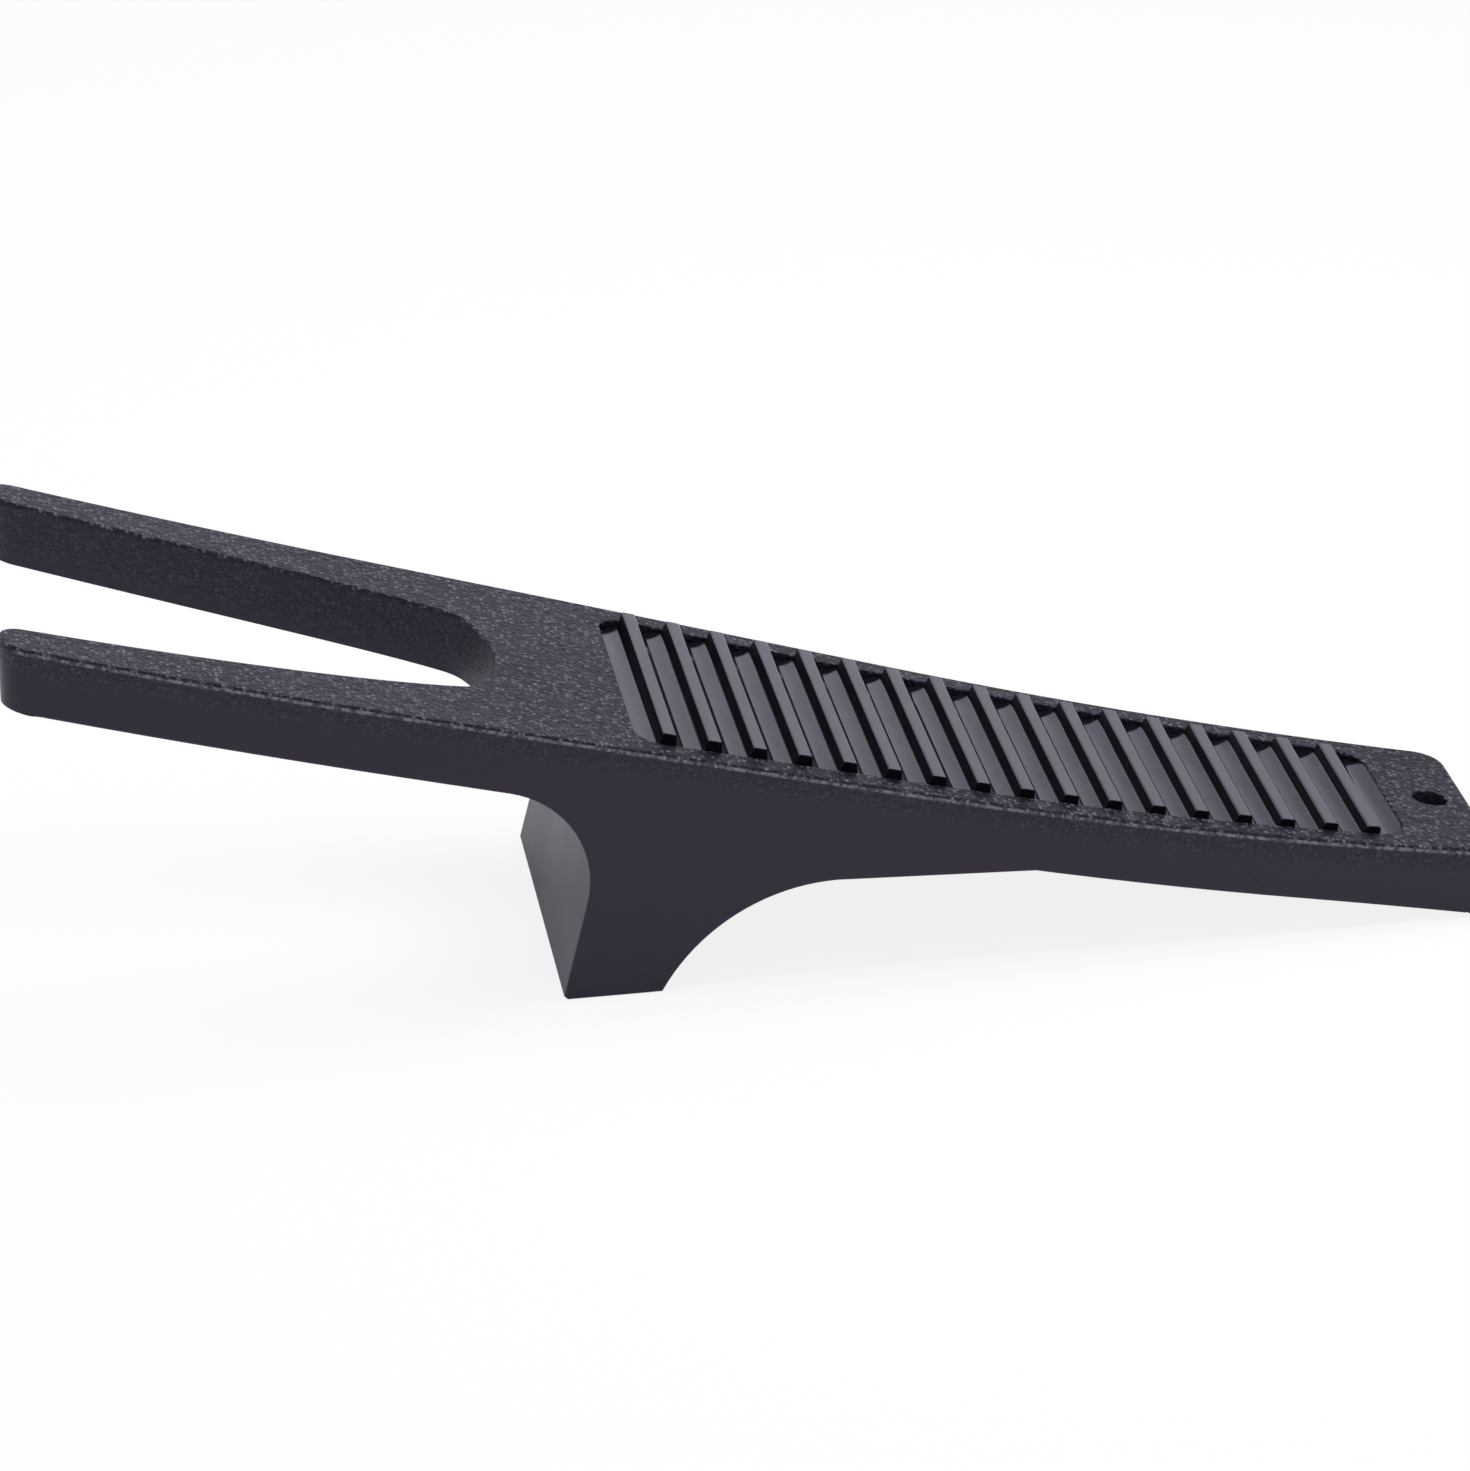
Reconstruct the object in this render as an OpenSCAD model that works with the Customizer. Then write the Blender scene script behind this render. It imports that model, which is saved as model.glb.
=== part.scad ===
// Boot jack: a sloping plastic deck with a boot notch, standing on a moulded leg and its own tail,
// and a ribbed tread pad let into a pocket for the other foot to stand on.
// Millimetres. X runs from the fork tips (-X) to the tail (+X), Z is up from the floor, Y = 0 is the middle.

/* [Overall] */
// Length from the fork tips to the tail end
jack_length = 330; // [320:1:345]
// Width across the fork tips
fork_width = 102.6; // [98:0.2:110]
// Width across the tail
tail_width = 57.8; // [54:0.2:62]
// How far the sides bow out between fork and tail
side_bow = 1.4; // [0:0.1:3]
// Radius of the tail's two corners
tail_corner_radius = 7; // [4:0.5:8]

/* [Deck] */
// Fall of the deck from fork to tail, in degrees
deck_tilt = 13.9; // [12:0.1:15]
// Length of the flat that the tail stands on
tail_land = 2.5; // [2:0.1:4]
// Length over which the skirt eases down to that flat
tail_ease = 42.5; // [35:0.5:50]
// Height of the deck over the floor at the tail end
tail_height = 15.3; // [14.8:0.1:17]
// How far the tail end is swept up from the straight slope
tail_sweep = 6.5; // [5:0.1:8]
// Length of the swept stretch at the tail
tail_sweep_run = 130; // [110:1:150]
// How far the fork tips are curled up from the straight slope
tip_curl = 1.5; // [0:0.1:3]
// Length of the curled stretch at the fork
tip_curl_run = 85; // [70:1:100]
// Height of the skirt round the deck's edge
skirt_height = 14.5; // [13.4:0.1:14.7]

/* [Notch] */
// Depth of the notch from the fork tips
notch_depth = 107.9; // [98:0.1:109]
// Width of each fork tip
tip_width = 13.05; // [12:0.05:14]
// Radius at the bottom of the notch, where the boot's heel bears
notch_bottom_radius = 38; // [32:0.5:42]
// Radius between the bottom of the notch and its sides
notch_corner_radius = 8; // [5:0.5:10]
// Roundness of the fork tips' corners: their radius as a share of the tip's width
tip_roundness = 0.46; // [0.3:0.01:0.47]

/* [Leg] */
// Distance from the fork tips to the front of the foot
foot_setback = 117.7; // [116:0.1:122]
// Lean of the leg's front, in degrees
leg_lean = 14; // [8:0.5:16]
// Radius of the sweep from the leg's front into the deck
leg_front_radius = 22.5; // [16:0.5:23]
// Radius of the arch behind the foot
arch_radius = 44.5; // [42:0.5:48]
// Height of the arch over the floor
arch_height = 22.9; // [20:0.1:23]
// Distance from the front of the foot to the crown of the arch
arch_crown = 60.9; // [60:0.1:64]
// Distance from the crown of the arch to where it meets the skirt
arch_run = 44.4; // [40:0.1:48]

/* [Tread pocket] */
// Distance from the fork tips to the pocket
pocket_setback = 135.2; // [133:0.1:140]
// Distance from the pocket to the tail end
pocket_tail_gap = 20; // [19.6:0.1:23]
// Width of the deck's border beside the pocket
pocket_border = 6.8; // [6:0.1:8]
// Depth of the pocket
pocket_depth = 6.4; // [6.1:0.1:7]
// Radius of the pocket's corners at the fork end
pocket_front_radius = 6; // [4:0.5:9]
// Radius of the pocket's corners at the tail end
pocket_tail_radius = 8; // [5:0.5:10]

/* [Tread pad] */
// Gap all round between the pad and the pocket's wall
pad_clearance = 0.15; // [0.05:0.05:0.3]
// Distance from one rib to the next
rib_pitch = 9.97; // [9.4:0.01:11]
// Width of a rib's top
rib_width = 2.8; // [2.2:0.1:3.2]
// How far a rib's sloping fork side stands out at its foot
rib_flank = 1.3; // [0.9:0.05:1.5]
// Distance from the pocket's fork end to the first rib's top
rib_lead = 5.91; // [5.4:0.01:6.5]
// Height of the first rib over the deck
rib_height_front = 2.4; // [1.6:0.1:3]
// Height of the last rib over the deck
rib_height_tail = 1.5; // [1:0.1:2.4]
// Depth below the deck at which a channel starts behind a rib
channel_lip = 0.6; // [0.2:0.1:1]
// Depth of the channel's crease below the deck
channel_depth = 1.8; // [1.4:0.1:2.2]
// Distance from the rib to that crease
channel_crease = 2.1; // [1.6:0.1:2.4]
// Radius of the channel's floor, from the crease to the next rib
channel_radius = 10; // [8:0.5:14]
// Rise of that floor against the deck where it starts, in degrees
channel_rise = 7; // [4:0.5:10]

/* [Hang hole] */
// Diameter of the hang hole
hang_hole_diameter = 8; // [6:0.2:8.4]
// Distance from the hang hole's centre to the tail end
hang_hole_inset = 9.2; // [9:0.1:11]
// Thickness of the collar round the hang hole under the deck
hang_collar = 3.4; // [3:0.1:4]

/* [Underside] */
// Thickness of the skirt and of the walls round the notch and leg
wall = 3; // [2.6:0.1:3.2]
// Thickness of the deck
deck_thickness = 3; // [2.4:0.1:3.4]
// Thickness of the floor under the pocket
pocket_floor = 2.5; // [2:0.1:3]
// Thickness of the stiffening webs
web = 2.4; // [1.8:0.1:2.8]
// Distance of each lengthwise web from the middle
web_offset = 13; // [11:0.5:14]
// Spacing of the crosswise webs
web_pitch = 30; // [28:0.5:32]
// How far the crosswise webs stop short of the skirt's lower edge
web_recess = 1.5; // [0.5:0.1:3]

/* [Hidden] */
$fn = 64;
slope = tan(deck_tilt);
tip_x = -jack_length / 2;
tail_x = jack_length / 2;
sweep_x = tail_x - tail_sweep_run;
curl_x = tip_x + tip_curl_run;
rest_x = tail_x - tail_land;
mid_height = tail_height + slope * tail_x - tail_sweep;
mid_half = (fork_width + tail_width) / 4 + side_bow;
taper = (fork_width - tail_width) / (2 * jack_length);
pocket_x0 = tip_x + pocket_setback;
pocket_x1 = tail_x - pocket_tail_gap;
hole_x = tail_x - hang_hole_inset;
foot_x = tip_x + foot_setback;
crown_x = foot_x + arch_crown;
arch_end_x = crown_x + arch_run;
notch_x = tip_x + notch_depth;
root_x = notch_x - 4.6;
notch_mouth = fork_width - 2 * tip_width;
tip_radius = tip_roundness * tip_width;
first_rib_x = pocket_x0 + rib_lead;
channel_length = rib_pitch - rib_width - rib_flank;
rib_count = floor((pocket_x1 - first_rib_x - rib_width - channel_length) / rib_pitch) + 1;
mouth_slope = 0.11;
notch_wall_slope = 0.36;
notch_turn = 29;

// Height of the deck, and how steeply it falls there, at a distance x from mid-length.
function deck_z(x) = mid_height - slope * x
    + tail_sweep * pow(max(0, x - sweep_x) / (tail_x - sweep_x), 2)
    + tip_curl * pow(max(0, curl_x - x) / (curl_x - tip_x), 2);
function deck_fall(x) = atan((deck_z(x - 1) - deck_z(x + 1)) / 2);

// Height of the skirt's lower edge: parallel to the deck, and easing down to the floor at the tail.
function skirt_z(x) = max(0, deck_z(x) - skirt_height
    - (deck_z(rest_x) - skirt_height) * pow(max(0, x - rest_x + tail_ease) / tail_ease, 2));

// Half width of the deck, and how fast it narrows.
function half_width(x) = mid_half - taper * x - side_bow * pow(x / tail_x, 2);
function narrowing(x) = atan(taper + 2 * side_bow * x / (tail_x * tail_x));

function arc(c, r, a0, a1, n) = [for (i = [0:n])
    c + r * [cos(a0 + (a1 - a0) * i / n), sin(a0 + (a1 - a0) * i / n)]];
function mirrored(p) = [for (i = [len(p) - 1:-1:0]) [p[i][0], -p[i][1]]];
function bezier(p, q, r, t) = (1 - t) * (1 - t) * p + 2 * t * (1 - t) * q + t * t * r;
function left_normal(v) = [-v[1], v[0]] / norm(v);

// Places where the deck's curve is drawn with a new chord: none on its straight middle.
deck_grid = concat(
    [for (i = [0:8]) tip_x - 2 + (curl_x - tip_x + 2) * i / 8],
    [for (i = [0:14]) sweep_x + (tail_x + 2 - sweep_x) * i / 14]);
function deck_points(x0, x1, dz) = concat(
    [[x0, deck_z(x0) + dz]],
    [for (x = deck_grid) if (x > x0 + 0.4 && x < x1 - 0.4) [x, deck_z(x) + dz]],
    [[x1, deck_z(x1) + dz]]);
function skirt_points(x0, x1) = concat(
    [[x0, skirt_z(x0)]],
    [for (x = deck_grid) if (x > x0 + 0.4 && x < x1 - 0.4) [x, skirt_z(x)]],
    [[x1, skirt_z(x1)]]);

// Corner arcs of the plan, each tangent to the side or notch wall that it meets.
tail_turn = 90 - narrowing(tail_x - tail_corner_radius);
tail_centre = [tail_x - tail_corner_radius,
    half_width(tail_x - tail_corner_radius * (1 - cos(tail_turn))) - tail_corner_radius * sin(tail_turn)];
tip_turn = 90 - narrowing(tip_x + tip_radius);
tip_centre = [tip_x + tip_radius,
    half_width(tip_x + tip_radius * (1 + cos(tip_turn))) - tip_radius * sin(tip_turn)];
inner_centre = [tip_x + tip_radius,
    notch_mouth / 2 - mouth_slope * tip_radius + tip_radius * sqrt(1 + mouth_slope * mouth_slope)];
inner_turn = 270 - atan(mouth_slope);
bottom_centre = [notch_x - notch_bottom_radius, 0];
corner_centre = bottom_centre + (notch_bottom_radius - notch_corner_radius) * [cos(notch_turn), sin(notch_turn)];
corner_turn = 90 - atan(notch_wall_slope);

// Notch wall from the fork tip to the corner arc, moved into the plastic by d.
wall_start = inner_centre + tip_radius * [cos(inner_turn), sin(inner_turn)];
wall_end = corner_centre + notch_corner_radius * [cos(corner_turn), sin(corner_turn)];
wall_knee_x = (wall_start[1] - wall_end[1] + mouth_slope * wall_start[0] - notch_wall_slope * wall_end[0])
    / (mouth_slope - notch_wall_slope);
wall_knee = [wall_knee_x, wall_start[1] - mouth_slope * (wall_knee_x - wall_start[0])];
function notch_wall(d) = [for (i = [1:11])
    bezier(wall_start, wall_knee, wall_end, i / 12)
    + d * left_normal((1 - i / 12) * (wall_knee - wall_start) + i / 12 * (wall_end - wall_knee))];

// Half of the plan, from the tail round the fork tip to the middle of the notch, moved inwards by d.
function half_plan(d) = concat(
    arc(tail_centre, tail_corner_radius - d, 0, tail_turn, 8),
    [for (i = [1:19]) let (x = tail_centre[0] + (tip_centre[0] - tail_centre[0]) * i / 20)
        [x, half_width(x) - d / cos(narrowing(x))]],
    arc(tip_centre, tip_radius - d, tip_turn, 180, 8),
    arc(inner_centre, tip_radius - d, 180, inner_turn, 8),
    notch_wall(d),
    arc(corner_centre, notch_corner_radius + d, corner_turn, notch_turn, 6),
    [for (i = [1:7]) bottom_centre
        + (notch_bottom_radius + d) * [cos(notch_turn * (1 - i / 8)), sin(notch_turn * (1 - i / 8))]]);
function full_plan(d) = concat(half_plan(d), [[notch_x + d, 0]], mirrored(half_plan(d)));

// Half of the pocket's plan, moved inwards by d.
function pocket_side(x, d) = half_width(x) - pocket_border - d;
pocket_tail_centre = [pocket_x1 - pocket_tail_radius, pocket_side(pocket_x1 - pocket_tail_radius, 0) - pocket_tail_radius];
pocket_front_centre = [pocket_x0 + pocket_front_radius, pocket_side(pocket_x0 + pocket_front_radius, 0) - pocket_front_radius];
function half_pocket(d) = concat(
    arc(pocket_tail_centre, pocket_tail_radius - d, 0, 85, 8),
    [for (i = [1:9]) let (x = pocket_tail_centre[0] + (pocket_front_centre[0] - pocket_tail_centre[0]) * i / 10)
        [x, pocket_side(x, d)]],
    arc(pocket_front_centre, pocket_front_radius - d, 86, 180, 8));
function full_pocket(d) = concat(half_pocket(d), mirrored(half_pocket(d)));

// Sweep from the skirt into the leg's front: tangent to both.
sweep_cx = (foot_x + tan(leg_lean) * (mid_height - skirt_height - leg_front_radius / cos(deck_tilt))
    - leg_front_radius / cos(leg_lean)) / (1 + tan(leg_lean) * slope);
sweep_centre = [sweep_cx, mid_height - skirt_height - slope * sweep_cx - leg_front_radius / cos(deck_tilt)];
arch_centre = [crown_x, arch_height - arch_radius];
arch_foot = asin(-arch_centre[1] / arch_radius);

// Outline of the jack seen from the side.
function side_outline() = concat(
    deck_points(tip_x - 2, tail_x + 2, 0),
    [[tail_x + 2, 0], [rest_x, 0]],
    [for (p = mirrored(skirt_points(arch_end_x, rest_x - 3))) [p[0], -p[1]]],
    arc(arch_centre, arch_radius, 90, 180 - arch_foot, 20),
    [[foot_x + 1.1, 0], [foot_x + 0.3, 0.8]],
    arc(sweep_centre, leg_front_radius, -leg_lean, 90 - deck_tilt, 18),
    [for (p = mirrored(skirt_points(tip_x - 2, sweep_centre[0]))) [p[0], -p[1]]]);

// Hollow behind the leg's front wall and under the deck, open below.
function hollow_outline() = concat(
    deck_points(root_x, pocket_x0 - wall, -deck_thickness),
    deck_points(pocket_x0 - wall, pocket_x1 + wall, -pocket_depth - pocket_floor),
    deck_points(pocket_x1 + wall, tail_x + 1, -deck_thickness),
    [[tail_x + 1, -5], [foot_x + wall / cos(leg_lean) - 5 * tan(leg_lean), -5]],
    [for (p = arc(sweep_centre, leg_front_radius + wall, -leg_lean, 90 - deck_tilt, 18)) if (p[0] > root_x + 0.3) p]);

// Draws an outline given in X and Z, as wide as w to both sides of the middle or from y0 to y1.
module slab(points, y0, y1) {
    translate([0, y1, 0])
        rotate([90, 0, 0])
            linear_extrude(height = y1 - y0)
                polygon(points);
}

module column(points, z0, z1) {
    translate([0, 0, z0])
        linear_extrude(height = z1 - z0)
            polygon(points);
}

module cross_web(x) {
    slab([[x - web / 2, deck_z(x)], [x + web / 2, deck_z(x)],
        [x + web / 2, skirt_z(x) + web_recess], [x - web / 2, skirt_z(x) + web_recess]], -60, 60);
}

// Webs and collar that stay standing in the hollow.
module webs() {
    for (side = [-1, 1])
        translate([root_x, side * web_offset - web / 2, -5])
            cube([tail_x - root_x, web, mid_height * 2]);
    for (x = [pocket_x0 - wall:web_pitch:pocket_x1 + wall - web_pitch / 2])
        cross_web(x + 1);
    cross_web(pocket_x1 + wall - 1);
    translate([hole_x, 0, -5])
        cylinder(d = hang_hole_diameter + 2 * hang_collar, h = mid_height);
}

module hollows() {
    difference() {
        intersection() {
            column(full_plan(wall), -5, mid_height * 2);
            slab(hollow_outline(), -60, 60);
        }
        webs();
    }
    intersection() {
        column(full_plan(wall), -5, mid_height * 2 + 20);
        slab(concat(deck_points(tip_x - 2, root_x - web, -deck_thickness), [[root_x - web, -5], [tip_x - 2, -5]]),
            -60, 60);
    }
}

module body() {
    color([0.19, 0.18, 0.2])
        difference() {
            intersection() {
                column(full_plan(0), -5, mid_height * 2 + 20);
                slab(side_outline(), -60, 60);
            }
            hollows();
            intersection() {
                column(full_pocket(0), -5, mid_height * 2);
                slab(concat(deck_points(pocket_x0 - 1, pocket_x1 + 1, -pocket_depth),
                    [[pocket_x1 + 1, mid_height * 2], [pocket_x0 - 1, mid_height * 2]]), -60, 60);
            }
            translate([hole_x, 0, -5])
                cylinder(d = hang_hole_diameter, h = mid_height);
        }
}

// Channel from x0 to x1: it drops to a crease, then its floor curves up towards the next rib.
function channel(x0, x1) = let (lean = deck_fall(x0) - channel_rise,
    crease = [x0 + channel_crease, deck_z(x0 + channel_crease) - channel_depth],
    c = crease + channel_radius * [sin(lean), cos(lean)])
    concat([[x0, deck_z(x0) - channel_lip]],
        arc(c, channel_radius, 270 - lean, 360 - acos((x1 - c[0]) / channel_radius), 8));
function rib_x(i) = first_rib_x + rib_pitch * i;
function rib_height(i) = rib_height_front + (rib_height_tail - rib_height_front) * i / (rib_count - 1);
function rib_top(i) = [
    [rib_x(i), deck_z(rib_x(i)) + rib_height(i)],
    [rib_x(i) + rib_width, deck_z(rib_x(i) + rib_width) + rib_height(i)]];

// The pad seen from the side: a channel from the pocket's end to the first rib and one behind each rib.
function tread_outline() = concat(
    [[pocket_x0 - 1, deck_z(pocket_x0) - channel_lip]],
    channel(pocket_x0, first_rib_x - rib_flank),
    [for (i = [0:rib_count - 2]) each concat(rib_top(i), channel(rib_x(i) + rib_width, rib_x(i + 1) - rib_flank))],
    rib_top(rib_count - 1),
    channel(rib_x(rib_count - 1) + rib_width, pocket_x1),
    [[pocket_x1 + 1, deck_z(pocket_x1) - 0.1]],
    [for (p = mirrored(deck_points(pocket_x0 - 1, pocket_x1 + 1, -pocket_depth))) [p[0], -p[1]]]);

module tread_pad() {
    color([0.3, 0.3, 0.33])
        intersection() {
            column(full_pocket(pad_clearance), -5, mid_height * 2);
            slab(tread_outline(), -60, 60);
        }
}

body();
tread_pad();
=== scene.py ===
"""Boot jack: the looks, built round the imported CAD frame.

The body is a one-piece moulding with a spark-eroded grain on its deck, and the tread pad is a smooth
insert. Both are rounded and dressed here, in metres, where the CAD says they are.
"""

from __future__ import annotations

import logging
import math
from dataclasses import dataclass
from enum import Enum
from typing import Any, Callable, Iterable

import bmesh
import bpy
from mathutils import Matrix, Vector

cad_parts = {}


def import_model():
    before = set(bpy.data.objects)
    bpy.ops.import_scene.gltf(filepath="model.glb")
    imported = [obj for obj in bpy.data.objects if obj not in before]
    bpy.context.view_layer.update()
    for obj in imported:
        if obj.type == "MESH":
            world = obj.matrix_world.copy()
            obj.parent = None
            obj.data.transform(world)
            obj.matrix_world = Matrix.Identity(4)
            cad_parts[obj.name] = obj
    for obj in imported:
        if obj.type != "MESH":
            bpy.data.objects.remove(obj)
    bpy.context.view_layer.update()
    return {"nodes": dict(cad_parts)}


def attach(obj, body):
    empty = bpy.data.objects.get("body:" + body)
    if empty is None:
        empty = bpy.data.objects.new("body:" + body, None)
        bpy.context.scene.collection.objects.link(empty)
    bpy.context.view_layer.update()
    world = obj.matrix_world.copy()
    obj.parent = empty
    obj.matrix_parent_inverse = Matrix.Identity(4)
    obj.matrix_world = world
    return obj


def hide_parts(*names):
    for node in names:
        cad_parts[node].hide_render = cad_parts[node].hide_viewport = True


LOG = logging.getLogger("boot_jack")
MM = 0.001
CREASE = math.radians(30)
SMOOTHSTEP = {"interpolation_type": "SMOOTHSTEP"}
# A mix of two colours has them at inputs 6 and 7, and its result at output 2.
FIRST, SECOND, RESULT = 6, 7, 2


class Rim(Enum):
    """Edges of the moulded body, each with the radius in millimetres that its mould gives it."""

    OUTER = 1.3
    NOTCH = 1.1
    POCKET = 0.4
    HANG_HOLE = 0.35
    LOWER = 0.6


def linear(hex_colour: str) -> tuple[float, float, float, float]:
    """Turns an sRGB hex colour into linear light.

    Args:
        hex_colour: six hex digits, such as "2b292e".

    Returns:
        Red, green, blue and an alpha of one.
    """
    parts = [int(hex_colour[i : i + 2], 16) / 255 for i in (0, 2, 4)]
    red, green, blue = (c / 12.92 if c <= 0.04045 else ((c + 0.055) / 1.055) ** 2.4 for c in parts)
    return (red, green, blue, 1.0)


def scale_of(size_mm: float) -> float:
    """Gives the scale at which a pattern on metres repeats about once in that many millimetres."""
    return 1000 / size_mm


def add_node(tree: bpy.types.NodeTree, kind: str, settings: dict[str, Any] | None = None,
             links: dict[Any, Any] | None = None) -> bpy.types.Node:
    """Adds one node with its settings, socket values and incoming links.

    Args:
        tree: node tree that gets the node.
        kind: Blender's type name of the node.
        settings: attributes of the node by name.
        links: for each input, by name or number, an output socket or a plain value.

    Returns:
        The new node.
    """
    node = tree.nodes.new(kind)
    for name, value in (settings or {}).items():
        setattr(node, name, value)
    for key, value in (links or {}).items():
        socket = node.inputs[key]
        if isinstance(value, bpy.types.NodeSocket):
            tree.links.new(value, socket)
        else:
            socket.default_value = value
    return node


def empty_material(name: str) -> bpy.types.Material:
    """Makes a material with no nodes yet.

    Args:
        name: the material's name.

    Returns:
        The empty material.
    """
    material = bpy.data.materials.new(name)
    material.use_nodes = True
    material.node_tree.nodes.clear()
    return material


@dataclass(frozen=True)
class DeckCurve:
    """Height and width of the deck along the jack, in millimetres, as the CAD draws them."""

    mid_height: float = 49.63
    slope: float = math.tan(math.radians(13.9))
    sweep: float = 6.5
    sweep_run: float = 130.0
    curl: float = 1.5
    curl_run: float = 85.0
    half_length: float = 165.0
    mid_half_width: float = 41.5
    taper: float = 0.06788
    bow: float = 1.4

    def height(self, x: float) -> float:
        """Gives the height of the deck.

        Args:
            x: place along the jack, in millimetres.

        Returns:
            The height there, in millimetres.
        """
        swept = max(0.0, x - self.half_length + self.sweep_run) / self.sweep_run
        curled = max(0.0, self.curl_run - self.half_length - x) / self.curl_run
        return self.mid_height - self.slope * x + self.sweep * swept**2 + self.curl * curled**2

    def below_deck(self, tree: bpy.types.NodeTree) -> bpy.types.NodeSocket:
        """Adds nodes that give how far a point is below the deck.

        Args:
            tree: a material's node tree.

        Returns:
            A socket with that depth in millimetres, negative above the deck.
        """
        place = add_node(tree, "ShaderNodeTexCoord")
        in_mm = add_node(tree, "ShaderNodeVectorMath", {"operation": "SCALE"},
                         {0: place.outputs["Object"], "Scale": 1000.0})
        axes = add_node(tree, "ShaderNodeSeparateXYZ", None, {0: in_mm.outputs[0]})
        deck = add_node(tree, "ShaderNodeMath", {"operation": "MULTIPLY_ADD"},
                        {0: axes.outputs[0], 1: -self.slope, 2: self.mid_height})
        # The sweep at the tail and the curl at the tips rise with the square of the way into them.
        for side, rise, run in ((1.0, self.sweep, self.sweep_run), (-1.0, self.curl, self.curl_run)):
            into = add_node(tree, "ShaderNodeMath", {"operation": "MULTIPLY_ADD"},
                            {0: axes.outputs[0], 1: side / run, 2: (run - self.half_length) / run})
            into = add_node(tree, "ShaderNodeMath", {"operation": "MAXIMUM"}, {0: into.outputs[0], 1: 0.0})
            into = add_node(tree, "ShaderNodeMath", {"operation": "POWER"}, {0: into.outputs[0], 1: 2.0})
            deck = add_node(tree, "ShaderNodeMath", {"operation": "MULTIPLY_ADD"},
                            {0: into.outputs[0], 1: rise, 2: deck.outputs[0]})
        return add_node(tree, "ShaderNodeMath", {"operation": "SUBTRACT"},
                        {0: deck.outputs[0], 1: axes.outputs[2]}).outputs[0]

    def half_width(self, x: float) -> float:
        """Half the deck's width at x, both in millimetres."""
        return self.mid_half_width - self.taper * x - self.bow * (x / self.half_length) ** 2

    def inside_edge(self, tree: bpy.types.NodeTree) -> bpy.types.NodeSocket:
        """Adds nodes that give how far a point is inside the deck's two long edges.

        Args:
            tree: a material's node tree.

        Returns:
            A socket with that distance in metres.
        """
        place = add_node(tree, "ShaderNodeTexCoord")
        axes = add_node(tree, "ShaderNodeSeparateXYZ", None, {0: place.outputs["Object"]})
        across = add_node(tree, "ShaderNodeMath", {"operation": "ABSOLUTE"}, {0: axes.outputs[1]})
        bowed = add_node(tree, "ShaderNodeMath", {"operation": "MULTIPLY"},
                         {0: axes.outputs[0], 1: axes.outputs[0]})
        tapered = add_node(tree, "ShaderNodeMath", {"operation": "MULTIPLY_ADD"},
                           {0: axes.outputs[0], 1: -self.taper, 2: self.mid_half_width * MM})
        half = add_node(tree, "ShaderNodeMath", {"operation": "MULTIPLY_ADD"},
                        {0: bowed.outputs[0], 1: -self.bow / self.half_length**2 / MM, 2: tapered.outputs[0]})
        return add_node(tree, "ShaderNodeMath", {"operation": "SUBTRACT"},
                        {0: half.outputs[0], 1: across.outputs[0]}).outputs[0]


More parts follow.
